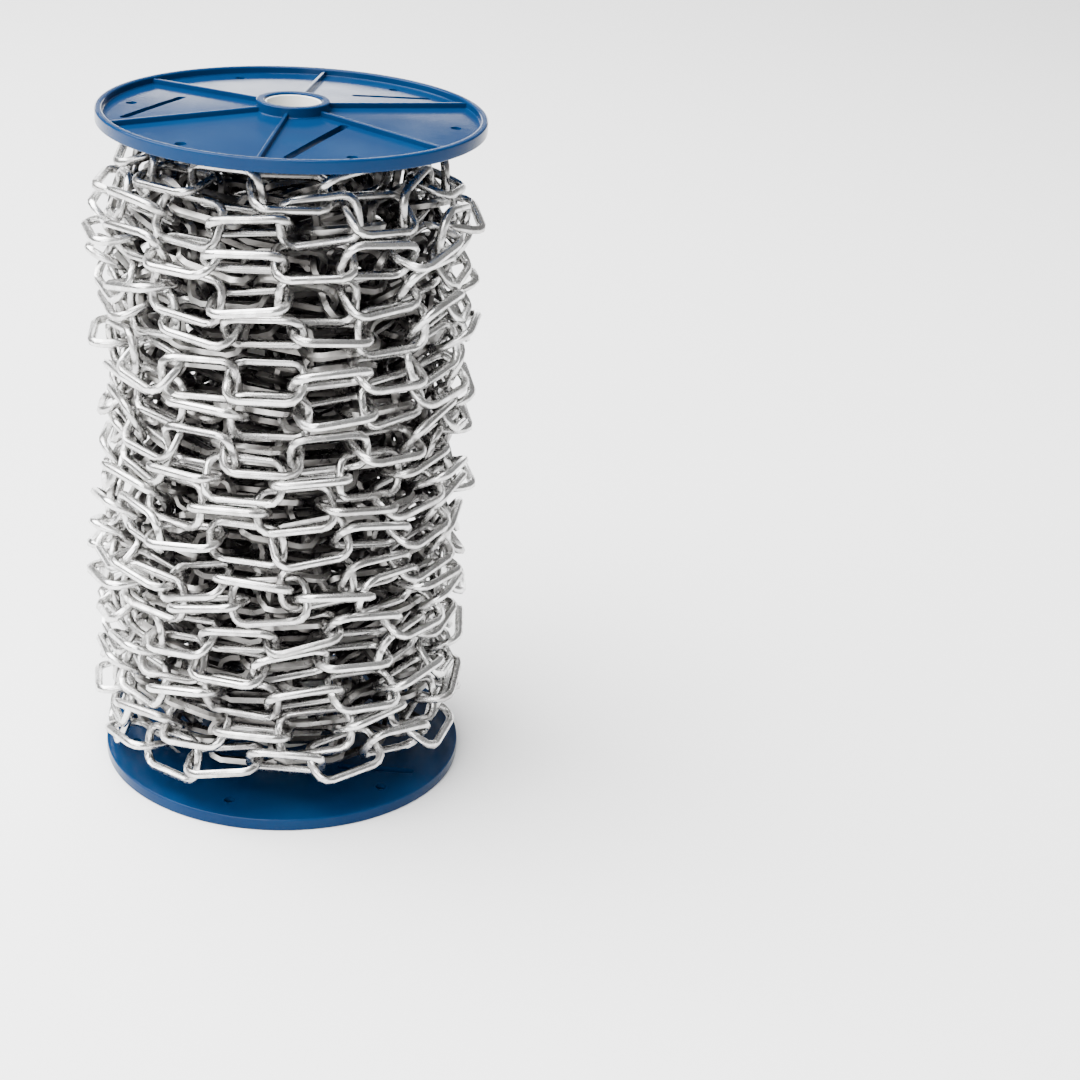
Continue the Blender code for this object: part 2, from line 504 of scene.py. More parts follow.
def dot(first: Array, second: Array) -> Array:
    """Multiply two lists of vectors, pair by pair."""
    return np.sum(first * second, axis=1)


def unit(vectors: Array) -> Array:
    """Scale a list of vectors to a length of 1."""
    return vectors / np.linalg.norm(vectors, axis=1)[:, None]


@dataclass
class ReelPlace:
    """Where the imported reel's pieces lie, in metres.

    Args:
        radius: Outer radius of the flanges.
        low_face: Height of the bottom flange's inner face.
        high_face: Height of the top flange's inner face.
        top: Height of the top flange's rim.
        tube_radius: Outer radius of the tube.
    """

    radius: float
    low_face: float
    high_face: float
    top: float
    tube_radius: float

    @classmethod
    def read(cls) -> "ReelPlace":
        """Read the places from the frame.

        Returns:
            The places.
        """
        _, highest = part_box("flange_top")
        _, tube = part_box("core_tube")
        top = highest.z - Flange.collar
        return cls(highest.x, Flange.thickness, top - Flange.thickness, top, tube.x)


@dataclass
class Flange:
    """A moulded flange: a thin web inside a rim lip, with a hub, ribs, tie slots and tie holes.

    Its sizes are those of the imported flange, and every edge has the rounding that a mould gives.
    Only the top flange has a collar, which stands out over its rim, and a web that rises from the
    rim to the hub, by the dish.
    """

    radius: float
    thickness: float = 0.0065
    web: float = 0.003
    collar: float = 0.005
    dish: float = 0.0035
    rim_width: float = 0.0035
    rim_round: float = 0.0009
    edge_round: float = 0.0006
    hub_radius: float = 0.018
    hub_hole: float = 0.014
    spigot: float = 0.010
    rib_count: int = 6
    rib_first: float = 20.0
    rib_width: float = 0.0018
    rib_round: float = 0.00045
    rib_setback: float = 0.001
    rib_bite: float = 0.0008
    hole_count: int = 6
    hole_first: float = 50.0
    hole_share: float = 0.84
    hole_radius: float = 0.00275
    hole_sides: int = 24
    slot_width: float = 0.0045
    slot_round: float = 0.002025
    slots: tuple[tuple[Span, Span], ...] = (
        ((0.87, 191.0), (0.63, 154.0)),
        ((0.85, 268.0), (0.37, 316.0)),
        ((0.87, 33.0), (0.52, 54.0)),
    )
    cutter_height: float = 0.026
    steps: int = 128

    def half_section(self, collar: float, dish: float) -> tuple[list[Span], dict[int, float]]:
        """Draw the half section with the outer side up at 0.

        Args:
            collar: How far the hub stands out over the rim.
            dish: How far the web rises from the rim to the hub.

        Returns:
            The profile's corners, and the rounding by corner.
        """
        web_top = self.web - self.thickness
        end = -self.thickness - self.spigot
        inside = self.radius - self.rim_width
        profile = [
            (self.hub_hole, collar), (self.hub_radius, collar), (self.hub_radius, web_top + dish),
            (inside, web_top), (inside, 0.0), (self.radius, 0.0), (self.radius, -self.thickness),
            (self.hub_radius, -self.thickness), (self.hub_radius, end), (self.hub_hole, end),
        ]
        rounds = {i: self.rim_round if i in (4, 5, 6) else self.edge_round
                  for i in (0, 1, 2, 3, 4, 5, 6, 9)}
        return profile, rounds

    def ribs(self, dish: float) -> Shape:
        """Mould radial ribs on the outer side, let into the hub and the rim.

        Args:
            dish: How far the web rises from the rim to the hub.

        Returns:
            The ribs.
        """
        work = bmesh.new()
        low = self.web - self.thickness - self.rib_bite
        tops = (dish - self.rib_setback, -self.rib_setback)
        for i in range(self.rib_count):
            angle = self.rib_first + i * 360 / self.rib_count
            start = polar(self.hub_radius - self.rib_bite, angle)
            end = polar(self.radius - self.rim_width + self.rib_bite, angle)
            edges = Piece.block(work, start, end, self.rib_width, low, tops)
            upper = [edge for edge in edges if all(vert.co.z > low for vert in edge.verts)]
            Piece.round_edges(work, upper, self.rib_round, segments=2)
        return work

    def openings(self) -> Shape:
        """Make the cutters for the tie holes and the tie slots.

        Returns:
            The cutters.
        """
        work = bmesh.new()
        for i in range(self.hole_count):
            angle = self.hole_first + i * 360 / self.hole_count
            centre = polar(self.hole_share * self.radius, angle)
            made = bmesh.ops.create_cone(work, cap_ends=True, segments=self.hole_sides,
                                         radius1=self.hole_radius, radius2=self.hole_radius,
                                         depth=self.cutter_height)
            bmesh.ops.translate(work, verts=made["verts"], vec=centre)
        half = self.cutter_height / 2
        for (outer_share, outer_angle), (inner_share, inner_angle) in self.slots:
            outer = polar(outer_share * self.radius, outer_angle)
            inner = polar(inner_share * self.radius, inner_angle)
            edges = Piece.block(work, outer, inner, self.slot_width, -half, (half, half))
            upright = [edge for edge in edges
                       if abs(edge.verts[0].co.z - edge.verts[1].co.z) > half]
            Piece.round_edges(work, upright, self.slot_round, segments=4)
        return work

    def build(self, side: Side, height: float) -> None:
        """Make one flange, in place.

        Args:
            side: The end of the reel that it is on.
            height: Height of the rim of the top flange.
        """
        collar, dish = (self.collar, self.dish) if side is Side.TOP else (0.0, 0.0)
        profile, rounds = self.half_section(collar, dish)
        body = Piece.spin(profile, rounds, self.steps)
        made = Piece.make(f"{side.value}_flange", body, BLUE_PLASTIC.material(), Piece.PLASTIC_EDGE)
        Piece.combine(made, [(self.ribs(dish), "UNION"), (self.openings(), "DIFFERENCE")])
        if side is Side.TOP:
            made.data.transform(Matrix.Translation((0, 0, height)))
        else:
            made.data.transform(Matrix.Rotation(math.pi, 4, "X"))
        Piece.shade(made.data, Piece.PLASTIC_EDGE)
        Piece.even_shading(made)
        Piece.hand_over(made, "blue_plastic", f"flange_{side.value}")


@dataclass
class CoreTube:
    """The light tube inside the winding, and the light liner that shows in the hub's hole.

    Args:
        outside: Outer radius of the tube.
        hub_hole: Radius of the hub's hole, which the liner fits.
        top: Height of the hub's upper end.
    """

    outside: float
    hub_hole: float
    top: float
    wall: float = 0.003
    liner_wall: float = 0.0012
    liner_play: float = 0.0001
    liner_depth: float = 0.0010
    edge_round: float = 0.0005
    steps: int = 96

    def build(self) -> None:
        """Make the tube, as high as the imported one, and the liner."""
        finish = GREY_PLASTIC.material()
        low, high = (corner.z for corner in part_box("core_tube"))
        tube = self.sleeve("hub_tube", self.outside, self.wall, (low, high), finish)
        Piece.hand_over(tube, "grey_plastic", "core_tube")
        liner = self.sleeve("hub_liner", self.hub_hole - self.liner_play, self.liner_wall,
                            (self.liner_depth, self.top - self.liner_depth), finish)
        Piece.hand_over(liner, "grey_plastic")

    def sleeve(self, name: str, outside: float, wall: float, ends: Span,
               finish: Material) -> Solid:
        """Turn a plain tube with rounded ends.

        Args:
            name: The piece's name.
            outside: Its outer radius.
            wall: Thickness of its wall.
            ends: Heights of its lower and its upper end.
            finish: Its material.

        Returns:
            The piece.
        """
        low, high = ends
        profile = [(outside - wall, low), (outside, low), (outside, high), (outside - wall, high)]
        work = Piece.spin(profile, {i: self.edge_round for i in range(4)}, self.steps)
        made = Piece.make(name, work, finish, Piece.PLASTIC_EDGE)
        Piece.even_shading(made)
        return made


@dataclass
class Link:
    """One long link of round wire, bent to a rounded oblong."""

    wire: float = 0.0045
    pitch: float = 0.032
    width: float = 0.026
    corner: float = 0.0065

    @property
    def end(self) -> float:
        """Distance from the link's middle to the centre line of its ends."""
        return (self.pitch + self.wire) / 2

    @property
    def side(self) -> float:
        """Distance from the link's middle to the centre line of its long sides."""
        return (self.width - self.wire) / 2

    def corner_centre(self, quarter: int) -> Span:
        """Find the centre of a rounded corner.

        Args:
            quarter: The corner's number, counterclockwise from +X +Y.

        Returns:
            Its X and Y.
        """
        x = self.end - self.corner if quarter in (0, 3) else self.corner - self.end
        y = self.side - self.corner if quarter in (0, 1) else self.corner - self.side
        return x, y

    def stations(self, arc_steps: int) -> Array:
        """Corners of the centre line, in the link's own plane.

        Args:
            arc_steps: Steps in each rounded corner.

        Returns:
            The points, in order, as an (n, 3) array.
        """
        points = []
        for quarter in range(4):
            x, y = self.corner_centre(quarter)
            for step in range(arc_steps + 1):
                turn = math.pi / 2 * (quarter + step / arc_steps)
                points.append((x + self.corner * math.cos(turn),
                               y + self.corner * math.sin(turn), 0.0))
        return np.array(points)

    def template(self, arc_steps: int, sides: int) -> bpy.types.Mesh:
        """Bend one link round the origin, with its length along X and its width along Y.

        Args:
            arc_steps: Steps in each rounded corner.
            sides: Sides of the wire's section.

        Returns:
            The mesh that every link of a layer copies.
        """
        work = bmesh.new()
        ring = bmesh.ops.create_circle(work, cap_ends=False, segments=sides,
                                       radius=self.wire / 2)["verts"]
        straight_end, straight_side = 2 * (self.side - self.corner), 2 * (self.end - self.corner)
        upright = Matrix.Rotation(math.pi / 2, 4, "X")
        place = Matrix.Translation((self.end, -straight_end / 2, 0.0))
        bmesh.ops.transform(work, matrix=place @ upright, verts=ring)
        edges = list({edge for vert in ring for edge in vert.link_edges})
        for quarter in range(4):
            heading = math.pi / 2 * (quarter + 1)
            length = straight_end if quarter % 2 == 0 else straight_side
            run = Vector((math.cos(heading), math.sin(heading), 0.0)) * length
            grown = bmesh.ops.extrude_edge_only(work, edges=edges)["geom"]
            ring = only(bmesh.types.BMVert, grown)
            edges = [edge for edge in only(bmesh.types.BMEdge, grown)
                     if all(vert in ring for vert in edge.verts)]
            bmesh.ops.translate(work, verts=ring, vec=run)
            centre = (*self.corner_centre(quarter), 0.0)
            turned = bmesh.ops.spin(work, geom=ring + edges, cent=centre, axis=(0, 0, 1),
                                    angle=math.pi / 2, steps=arc_steps, use_merge=False)
            ring = only(bmesh.types.BMVert, turned["geom_last"])
            edges = only(bmesh.types.BMEdge, turned["geom_last"])
        bmesh.ops.remove_doubles(work, verts=work.verts, dist=MERGE)
        bmesh.ops.recalc_face_normals(work, faces=work.faces)
        mesh = bpy.data.meshes.new("link")
        work.to_mesh(mesh)
        work.free()
        return mesh


@dataclass(frozen=True)
class Layer:
    """One layer of the winding, as it is planned.

    Args:
        name: Name for its pieces.
        inward: How far its joints lie inside those of the outer layer.
        turns: Turns from the bottom to the top.
        way: 1 where it climbs counterclockwise, seen from above, and -1 where it climbs clockwise.
        start_degrees: Angle of its first joint.
        headroom: How far below the top flange it stops.
        depth: Whether it is in sight.
    """

    name: str
    inward: float
    turns: float
    way: int
    start_degrees: float
    headroom: float = 0.0
    depth: Depth = Depth.HIDDEN


@dataclass(frozen=True)
class Swell:
    """A place where the winding stands out, or lies in where its reach is negative."""

    degrees: float
    height: float
    reach: float
    half_degrees: float
    half_height: float

    def at(self, angle: Array, height: Array) -> Array:
        """Find how far the winding stands out.

        Args:
            angle: Angles of the places.
            height: Their heights.

        Returns:
            The reach at each place.
        """
        off = np.remainder(np.degrees(angle) - self.degrees + 180, 360) - 180
        up = height - self.height
        return self.reach * np.exp(-(off / self.half_degrees) ** 2 - (up / self.half_height) ** 2)


class Settler:
    """Pushes rigid links clear of each other while their joints stay together.

    A link is a closed line of straight stretches of round wire. In each round every pair of
    stretches that lies closer than the wire is thick pushes its two links apart, every joint pulls
    its two links together, and the flanges and the tube push back whatever enters them. In the
    first rounds the chain's tension also draws the links inward, and each link goes a small share
    of the way back to where it was wound.
    """

    REACH = 0.043
    CLEAR = 0.00008
    JOINT_PLAY = 0.0002
    NEAR = 0.003
    LARGEST_MOVE = 0.0015
    LARGEST_TURN = 0.12
    ARC_STEPS = 2
    PAIR_ROUNDS = 30
    STRETCH_ROUNDS = 10
    TENSE_SHARE = 0.6
    PULL = 0.00004
    HOLD = 0.01
    EAGERNESS = 1.2
    CROWDING = 0.75
    PARALLEL = 1e-14
    REPORTED = 0.0003

    def __init__(self, link: Link, place: ReelPlace, centres: Array, turned: Array,
                 strand: Array) -> None:
        """Take the links as they are wound.

        Args:
            link: The link's sizes.
            place: The flanges and the tube that hold the winding.
            centres: Centre of each link, (n, 3).
            turned: Rotation of each link, (n, 3, 3).
            strand: Number of the layer that each link belongs to, (n,).
        """
        self.link, self.place = link, place
        self.centres, self.turned = centres.copy(), turned.copy()
        self.home = centres.copy()
        self.local = link.stations(self.ARC_STEPS)
        self.tip = np.array([link.pitch / 2, 0.0, 0.0])
        self.joints = np.nonzero(strand[1:] == strand[:-1])[0]
        squares = np.mean(self.local ** 2, axis=0)
        self.inertia = np.array([squares[1], squares[0], squares[0] + squares[1]])

    def points(self) -> Array:
        """Corners of every link's centre line, in place."""
        return self.centres[:, None, :] + np.einsum("nij,kj->nki", self.turned, self.local)

    def find_pairs(self) -> None:
        """List the pairs of links that are near enough to meet."""
        order = np.argsort(self.centres[:, 2], kind="stable")
        risen = self.centres[order]
        gap = risen[None, :, :] - risen[:, None, :]
        lower, upper = np.nonzero(np.triu(np.sum(gap * gap, axis=2) < self.REACH ** 2, 1))
        self.first, self.second = order[lower], order[upper]

    def find_stretches(self, margin: float) -> None:
        """List the pairs of stretches of wire that are near enough to meet.

        Args:
            margin: Distance beyond the wire's thickness that still counts as near.
        """
        points = self.points()
        after = np.roll(points, -1, axis=1)
        middle = (points + after) / 2
        half = np.linalg.norm(after - points, axis=2)[0] / 2
        gap = middle[self.first][:, :, None, :] - middle[self.second][:, None, :, :]
        distance = np.sqrt(np.sum(gap * gap, axis=3))
        limit = half[:, None] + half[None, :] + self.link.wire + margin
        pair, self.stretch_a, self.stretch_b = np.nonzero(distance < limit[None])
        self.link_a, self.link_b = self.first[pair], self.second[pair]

    def nearest(self) -> tuple[Array, Array, Array, Array]:
        """Find where each listed pair of stretches comes closest.

        Returns:
            The points on the first and second stretch, the gap between them, and its length.
        """
        points = self.points()
        corners = len(self.local)
        a, b = points[self.link_a, self.stretch_a], points[self.link_b, self.stretch_b]
        u = points[self.link_a, (self.stretch_a + 1) % corners] - a
        v = points[self.link_b, (self.stretch_b + 1) % corners] - b
        apart = a - b
        uu, vv, uv, ua, va = dot(u, u), dot(v, v), dot(u, v), dot(u, apart), dot(v, apart)
        crossing = uu * vv - uv * uv
        skew = crossing > self.PARALLEL
        share_a = np.where(skew, (uv * va - vv * ua) / np.where(skew, crossing, 1.0), 0.5)
        share_b = np.clip((uv * np.clip(share_a, 0, 1) + va) / vv, 0, 1)
        share_a = np.clip((uv * share_b - ua) / uu, 0, 1)
        on_a, on_b = a + u * share_a[:, None], b + v * share_b[:, None]
        gap = on_a - on_b
        return on_a, on_b, gap, np.linalg.norm(gap, axis=1)

    def give(self, index: Array, arm: Array, way: Array) -> Array:
        """How readily each link gives way at an arm, in a direction."""
        turn = np.einsum("nji,nj->ni", self.turned[index], np.cross(arm, way))
        return 1 + np.sum(turn * turn / self.inertia, axis=1)

    def push(self, index: Array, arm: Array, shove: Array) -> None:
        """Gather the move and the turn that shoves give links.

        Args:
            index: Number of each link that is shoved, (k,).
            arm: From its centre to where it is shoved, (k, 3).
            shove: The shove, (k, 3).
        """
        turn = np.einsum("nji,nj->ni", self.turned[index], np.cross(arm, shove)) / self.inertia
        turn = np.einsum("nij,nj->ni", self.turned[index], turn)
        total = len(self.centres)
        for axis in range(3):
            self.move[:, axis] += np.bincount(index, shove[:, axis], total)
            self.twist[:, axis] += np.bincount(index, turn[:, axis], total)
        self.touches += np.bincount(index, minlength=total)

    def push_pair(self, a: Array, arm_a: Array, b: Array, arm_b: Array, way: Array,
                  depth: Array) -> None:
        """Share a wanted move between two links.

        Args:
            a: Number of each first link, which moves along the way.
            arm_a: From its centre to where it is shoved.
            b: Number of each second link, which moves against the way.
            arm_b: From its centre to where it is shoved.
            way: Direction of the move.
            depth: Length of the move.
        """
        give = self.give(a, arm_a, way) + self.give(b, arm_b, way)
        shove = way * (depth / give)[:, None]
        self.push(a, arm_a, shove)
        self.push(b, arm_b, -shove)

    def walls(self) -> None:
        """Push the links out of the flanges and the tube, by how deep each corner is in them."""
        points = self.points()
        half = self.link.wire / 2
        up = np.zeros_like(points)
        up[:, :, 2] = 1.0
        low = self.place.low_face + half + self.JOINT_PLAY - points[:, :, 2]
        high = points[:, :, 2] - self.place.high_face + half + self.JOINT_PLAY
        flat = points * [1.0, 1.0, 0.0]
        radius = np.linalg.norm(flat, axis=2)
        inside = self.place.tube_radius + half - radius
        for depth, way in ((low, up), (high, -up), (inside, flat / radius[:, :, None])):
            index, corner = np.nonzero(depth > 0)
            arm, out = points[index, corner] - self.centres[index], way[index, corner]
            reach = depth[index, corner] / self.give(index, arm, out)
            self.push(index, arm, out * reach[:, None])

    def round(self, pull: float, hold: float) -> None:
        """Do one round of pushes.

        Args:
            pull: How far the chain's tension draws each link inward, in metres.
            hold: Share of the way back to where it was wound that each link goes.
        """
        total = len(self.centres)
        self.move, self.twist = np.zeros((total, 3)), np.zeros((total, 3))
        self.touches = np.zeros(total)
        before, after = self.joints, self.joints + 1
        arm_a = np.einsum("nij,j->ni", self.turned[before], self.tip)
        arm_b = -np.einsum("nij,j->ni", self.turned[after], self.tip)
        gap = self.centres[after] + arm_b - self.centres[before] - arm_a
        distance = np.linalg.norm(gap, axis=1)
        way = gap / np.maximum(distance, MERGE)[:, None]
        slack = np.maximum(distance - self.JOINT_PLAY, 0.0)
        self.push_pair(before, arm_a, after, arm_b, way, slack)
        on_a, on_b, gap, distance = self.nearest()
        wanted = self.link.wire + self.CLEAR
        hit = distance < wanted
        a, b = self.link_a[hit], self.link_b[hit]
        way = gap[hit] / np.maximum(distance[hit], MERGE)[:, None]
        self.push_pair(a, on_a[hit] - self.centres[a], b, on_b[hit] - self.centres[b], way,
                       wanted - distance[hit])
        self.walls()
        flat = self.centres[:, :2]
        flat -= pull * flat / np.linalg.norm(flat, axis=1)[:, None]
        self.centres += hold * (self.home - self.centres)
        self.apply()

    def apply(self) -> None:
        """Move and turn the links by what the round gathered."""
        scale = self.EAGERNESS / np.maximum(self.touches, 1.0) ** self.CROWDING
        move = self.move * scale[:, None]
        size = np.linalg.norm(move, axis=1)
        self.centres += move * np.minimum(1.0, self.LARGEST_MOVE / np.maximum(size, MERGE))[:, None]
        twist = self.twist * scale[:, None]
        angle = np.linalg.norm(twist, axis=1)
        x, y, z = (twist / np.maximum(angle, MERGE)[:, None]).T
        angle = np.minimum(angle, self.LARGEST_TURN)[:, None, None]
        none = np.zeros_like(x)
        spin = np.stack((none, -z, y, z, none, -x, -y, x, none), axis=1).reshape(-1, 3, 3)
        twice = np.einsum("nij,njk->nik", spin, spin)
        turn = np.eye(3) + np.sin(angle) * spin + (1 - np.cos(angle)) * twice
        turned = np.einsum("nij,njk->nik", turn, self.turned)
        first = unit(turned[:, :, 0])
        second = unit(turned[:, :, 1] - first * dot(turned[:, :, 1], first)[:, None])
        self.turned = np.stack((first, second, np.cross(first, second)), axis=2)

    def settle(self, rounds: int) -> None:
        """Let the links settle, and report what still clips.

        Args:
            rounds: Number of rounds.
        """
        for number in range(rounds):
            if number % self.PAIR_ROUNDS == 0:
                self.find_pairs()
            if number % self.STRETCH_ROUNDS == 0:
                self.find_stretches(self.NEAR)
            tense = number < rounds * self.TENSE_SHARE
            self.round(self.PULL if tense else 0.0, self.HOLD if tense else 0.0)
        self.find_stretches(0.0)
        clip = self.link.wire - self.nearest()[3]
        LOG.info("settled %d links in %d rounds: %d places deeper than %.1f mm, deepest %.2f mm",
                 len(self.centres), rounds, int(np.sum(clip > self.REPORTED)), self.REPORTED * 1000,
                 clip.max() * 1000)


@dataclass
class Winding:
    """All the chain on the reel, link by link.

    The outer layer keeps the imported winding's 17 links a turn, so each of its rows stands for one
    packed turn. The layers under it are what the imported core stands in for.
    """

    TONE = "link_tone"
    SPARE_KNOTS = 4

    link: Link
    place: ReelPlace
    seed: int = 5
    per_turn: int = 17
    start_degrees: float = 180.0
    hidden: tuple[Layer, ...] = (
        Layer("hidden_layer_3", 0.0480, 15.0, -1, 40.0),
        Layer("hidden_layer_2", 0.0320, 17.3, 1, 100.0),
        Layer("hidden_layer_1", 0.0160, 17.1, -1, 10.0, headroom=0.006),
    )
    flange_play: float = 0.0004
    front_degrees: float = 280.0
    front_lift: float = 0.014
    front_lift_fade: float = 0.2
    row_wander: float = 0.0027
    row_wander_period: float = 9
    calm_links: int = 12
    stand_out: float = 0.0018
    stand_out_period: float = 7
    hidden_swell: float = 0.6
    spacing_rounds: int = 6
    lean: float = math.radians(32)
    lean_period: float = 7
    lean_steepness: float = 2
    roll_jitter: float = math.radians(9)
    shift: Span = (-0.0025, 0.0)
    swells: tuple[Swell, ...] = (
        Swell(185.0, 0.128, 0.0045, 40.0, 0.026),
        Swell(185.0, 0.212, -0.0060, 35.0, 0.010),
        Swell(355.0, 0.235, -0.0030, 35.0, 0.010),
        Swell(355.0, 0.205, 0.0020, 35.0, 0.020),
        Swell(185.0, 0.290, 0.0015, 40.0, 0.025),
        Swell(180.0, 0.345, -0.0200, 75.0, 0.026),
        Swell(0.0, 0.345, -0.0200, 75.0, 0.026),
    )
    rounds: int = 520
    quick_rounds: int = 60
    tone: float = 0.35
    rng: np.random.Generator = field(init=False)

    def __post_init__(self) -> None:
        """Start the seeded random draws."""
        self.rng = np.random.default_rng(self.seed)

    def layers(self) -> list[Layer]:
        """Plan the layers, from the tube outward.

        Returns:
            The layers.
        """
        turns = self.outer_count() / self.per_turn
        outer = Layer("outer_layer", 0.0, turns, 1, self.start_degrees, depth=Depth.OUTER)
        return [*self.hidden, outer]

    def radius(self, layer: Layer) -> float:
        """Distance from the axis to the joints of a layer, as it is planned."""
        return self.link.pitch / (2 * math.sin(math.pi / self.per_turn)) - layer.inward

    def count(self, layer: Layer) -> int:
        """Count the links of a layer."""
        links_a_turn = math.pi / math.asin(self.link.pitch / 2 / self.radius(layer))
        return round(links_a_turn * layer.turns)

    def outer_count(self) -> int:
        """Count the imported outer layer's links, by its number of turns and its last link's place.

        Returns:
            The number of links.
        """
        low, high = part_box("chain_last_link")
        middle = (low + high) / 2
        full_turns = sum(name.startswith("chain_turn_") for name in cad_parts) - 1
        past = math.degrees(math.atan2(middle.y, middle.x)) - self.start_degrees
        # The last link ends half a link beyond its middle.
        return full_turns * self.per_turn + round((past % 360) / 360 * self.per_turn + 0.5)

    def sway(self, count: int, period: float, amount: float) -> Array:
        """Draw smooth random values along a layer.

        Args:
            count: How many values.
            period: Links from one random knot to the next.
            amount: Standard deviation of the knots.

        Returns:
            The values.
        """
        knots = self.rng.normal(0.0, 1.0, int(count / period) + self.SPARE_KNOTS)
        at = np.arange(count) / period
        low = np.floor(at).astype(int)
        share = at - low
        share = share * share * (3 - 2 * share)
        return amount * (knots[low] * (1 - share) + knots[low + 1] * share)

    def wound_joints(self, layer: Layer) -> Array:
        """Joints of a layer from the bottom up, one link's length apart, as it is wound.

        The layer's radius gives way a little, so that its last link lands where it is planned.

        Args:
            layer: The layer.

        Returns:
            The joints, one more than the layer has links.
        """
        count = self.count(layer)
        number = np.arange(count + 1)
        climb = number / count
        even = layer.way * 2 * math.pi * layer.turns
        calm = np.minimum(1.0, np.minimum(number, count - number) / self.calm_links)
        wander = self.sway(count + 1, self.row_wander_period, self.row_wander) * calm
        stand_out = self.sway(count + 1, self.stand_out_period, self.stand_out)
        margin = self.link.width / 2 + self.flange_play
        low, high = self.place.low_face + margin, self.place.high_face - margin - layer.headroom
        swell_share = 1.0 if layer.depth is Depth.OUTER else self.hidden_swell
        start = math.radians(layer.start_degrees)
        angle = start + even * climb
        middle_radius = self.radius(layer)
        for _ in range(self.spacing_rounds):
            front = ((1 + np.cos(angle - math.radians(self.front_degrees))) / 2) ** 2
            height = low + (high - low) * climb
            fade = np.maximum(0.0, 1 - (height - self.place.low_face) / self.front_lift_fade)
            height = height + self.front_lift * front * fade + wander
            radius = middle_radius + stand_out
            for swell in self.swells:
                radius = radius + swell.at(angle, height) * swell_share
            level = self.link.pitch ** 2 - np.diff(height) ** 2 - np.diff(radius) ** 2
            steps = 2 * np.arcsin(np.sqrt(level / (radius[1:] * radius[:-1])) / 2)
            angle = start + layer.way * np.concatenate(([0.0], np.cumsum(steps)))
            middle_radius *= np.sum(steps) / abs(even)
        LOG.info("%s: wound at %.1f mm", layer.name, middle_radius * 1000)
        return np.stack((radius * np.cos(angle) + self.shift[0],
                         radius * np.sin(angle) + self.shift[1], height), axis=1)

    def wound_links(self, layer: Layer) -> tuple[Array, Array]:
        """Links of a layer as they are wound, flat ones and ones on edge by turns.

        Args:
            layer: The layer.

        Returns:
            Their centres, and their rotations.
        """
        joints = self.wound_joints(layer)
        centres = (joints[1:] + joints[:-1]) / 2
        count = len(centres)
        along = unit(joints[1:] - joints[:-1])
        flat = centres * [1.0, 1.0, 0.0]
        outward = unit(flat - along * dot(flat, along)[:, None])
        upward = np.cross(outward, along)
        upward *= np.sign(upward[:, 2])[:, None]
        sway = self.sway(count, self.lean_period, 1.0)
        roll = self.lean * np.tanh(self.lean_steepness * sway)
        roll = roll + self.rng.normal(0.0, self.roll_jitter, count)
        roll = (roll + np.where(np.arange(count) % 2 == 0, 0.0, math.pi / 2))[:, None]
        across = upward * np.cos(roll) + outward * np.sin(roll)
        return centres, np.stack((along, across, np.cross(along, across)), axis=2)

    def build(self) -> None:
        """Wind, settle and make every piece of chain."""
        layers = self.layers()
        centres, turned = zip(*(self.wound_links(layer) for layer in layers))
        strand = np.repeat(np.arange(len(layers)), [len(part) for part in centres])
        settler = Settler(self.link, self.place, np.concatenate(centres), np.concatenate(turned),
                          strand)
        settler.settle(self.rounds)
        bright, shaded = BRIGHT_STEEL.material(), SHADED_STEEL.material()
        for number, layer in enumerate(layers):
            chosen = strand == number
            links = list(zip(settler.centres[chosen], settler.turned[chosen]))
            if layer.depth is Depth.OUTER:
                self.outer_pieces(links, bright)
            else:
                template = self.link.template(arc_steps=2, sides=5)
                made = self.joined(layer.name, template, links, shaded)
                Piece.hand_over(made, "shaded_steel", "winding_core")

    def outer_pieces(self, links: Links, material: Material) -> None:
        """Make the outer layer's rows and its two end links.

        Args:
            links: Centre and rotation of each link of the layer.
            material: Their finish.
        """
        template = self.link.template(arc_steps=3, sides=6)
        end = len(links) - 1
        rows = [("first_link", "chain_first_link", 0, 1),
                ("last_link", "chain_last_link", end, end + 1)]
        for turn in range(math.ceil(len(links) / self.per_turn)):
            start, stop = max(turn * self.per_turn, 1), min((turn + 1) * self.per_turn, end)
            rows.append((f"chain_row_{turn + 1:02d}", f"chain_turn_{turn + 1:02d}", start, stop))
        for name, node, start, stop in rows:
            made = self.joined(name, template, links[start:stop], material)
            Piece.hand_over(made, "bright_steel", node)

    def joined(self, name: str, template: bpy.types.Mesh, links: Links,
               material: Material) -> Solid:
        """Join copies of a link into one piece.

        Args:
            name: The piece's name.
            template: The link that is copied.
            links: Centre and rotation of each copy.
            material: Their finish.

        Returns:
            The finished piece.
        """
        work = bmesh.new()
        tone = work.verts.layers.float.new(self.TONE)
        for centre, turned in links:
            before = len(work.verts)
            work.from_mesh(template)
            work.verts.ensure_lookup_table()
            copied = work.verts[before:]
            place = Matrix.Translation(Vector(centre)) @ Matrix(turned.tolist()).to_4x4()
            bmesh.ops.transform(work, matrix=place, verts=copied)
            value = self.rng.uniform(-self.tone, self.tone)
            for vert in copied:
                vert[tone] = value
        return Piece.make(name, work, material, Piece.WIRE_EDGE)


@dataclass(frozen=True)
class Softbox:
    """A soft rectangular light, its power in watts, that isn't seen itself."""

    name: str
    place: Linear
    size: Span
    power: float

    def hang(self, target: Vector) -> None:
        """Hang the light.

        Args:
            target: The point that it faces.
        """
        data = bpy.data.lights.new(self.name, "AREA")
        data.shape = "RECTANGLE"
        data.size, data.size_y = self.size
        data.energy = self.power
        made = bpy.data.objects.new(self.name, data)
        turned = (target - Vector(self.place)).to_track_quat("-Z", "Y").to_matrix()
        made.matrix_world = Matrix.Translation(self.place) @ turned.to_4x4()
        made.visible_camera = False
        bpy.context.scene.collection.objects.link(made)


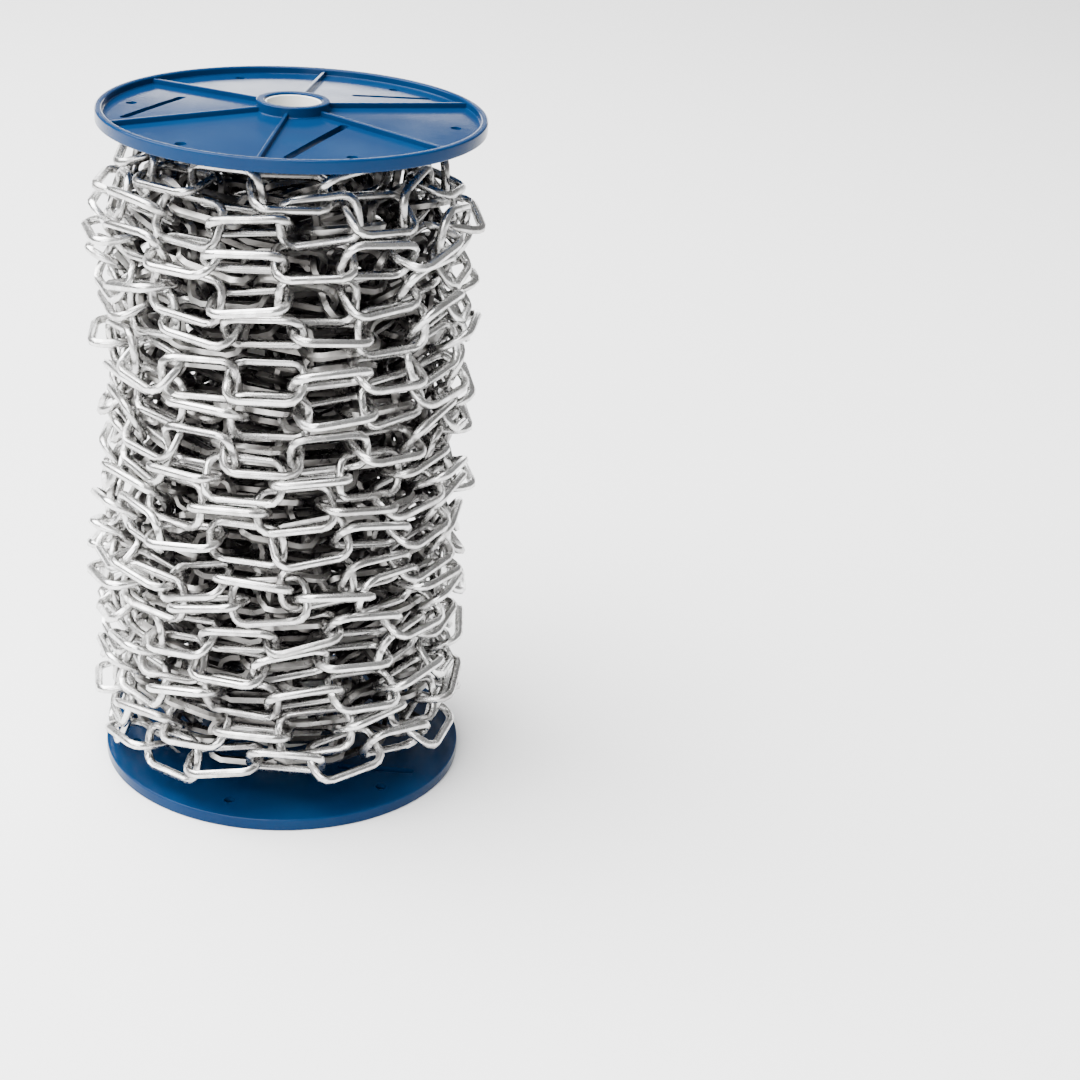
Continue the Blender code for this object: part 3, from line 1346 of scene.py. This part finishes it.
@dataclass
class Studio:
    """Floor, soft lights and the camera at the photo's angle."""

    floor_half: float = 9.0
    camera_place: Linear = (0.0, -1.096, 0.617)
    yaw: float = math.radians(6.99)
    pitch: float = math.radians(24.12)
    roll: float = math.radians(3.77)
    focal_pixels: float = 2268.0
    frame_pixels: float = 1080.0
    sensor: float = 36.0
    clip: Span = (0.05, 60.0)
    sky: float = 0.34
    lit_height: float = 0.18
    lights: tuple[Softbox, ...] = (
        Softbox("overhead_light", (-1.2, 0.0, 2.6), (3.6, 3.6), 560.0),
        Softbox("key_light", (-0.9, -2.2, 1.3), (1.4, 1.4), 60.0),
        Softbox("back_light", (0.0, 4.2, 0.56), (3.2, 1.1), 72.0),
    )

    def camera(self) -> None:
        """Place the camera."""
        data = bpy.data.cameras.new("photo_camera")
        data.sensor_width = self.sensor
        data.lens = self.focal_pixels / self.frame_pixels * self.sensor
        data.clip_start, data.clip_end = self.clip
        level = math.cos(self.pitch)
        ahead = Vector((math.sin(self.yaw) * level, math.cos(self.yaw) * level,
                        -math.sin(self.pitch)))
        right = Vector((math.cos(self.yaw), -math.sin(self.yaw), 0.0))
        up = right.cross(ahead)
        right, up = (right * math.cos(self.roll) + up * math.sin(self.roll),
                     up * math.cos(self.roll) - right * math.sin(self.roll))
        made = bpy.data.objects.new("photo_camera", data)
        turned = Matrix((right, up, -ahead)).transposed()
        made.matrix_world = Matrix.Translation(self.camera_place) @ turned.to_4x4()
        bpy.context.scene.collection.objects.link(made)
        bpy.context.scene.camera = made

    def floor(self) -> None:
        """Lay the plain pale floor."""
        work = bmesh.new()
        bmesh.ops.create_grid(work, x_segments=1, y_segments=1, size=self.floor_half)
        made = Piece.make("studio_floor", work, STUDIO_FLOOR.material(), Piece.PLASTIC_EDGE)

    def build(self) -> None:
        """Set up floor, lights, sky and camera."""
        self.floor()
        world = bpy.data.worlds.new("studio")
        world.use_nodes = True
        sky = world.node_tree.nodes["Background"]
        sky.inputs["Color"].default_value = (1.0, 1.0, 1.0, 1.0)
        sky.inputs["Strength"].default_value = self.sky
        bpy.context.scene.world = world
        for light in self.lights:
            light.hang(Vector((0.0, 0.0, self.lit_height)))
        self.camera()
        LOG.info("studio ready")


def main() -> None:
    """Build the reel and its studio."""
    logging.basicConfig(level=logging.INFO, format="%(message)s")
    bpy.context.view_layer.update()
    place = ReelPlace.read()
    flange = Flange(place.radius)
    flange.build(Side.BOTTOM, place.top)
    flange.build(Side.TOP, place.top)
    CoreTube(place.tube_radius, flange.hub_hole, place.top + flange.collar).build()
    Winding(Link(), place).build()
    Studio().build()


if __name__ == "__main__":
    main()
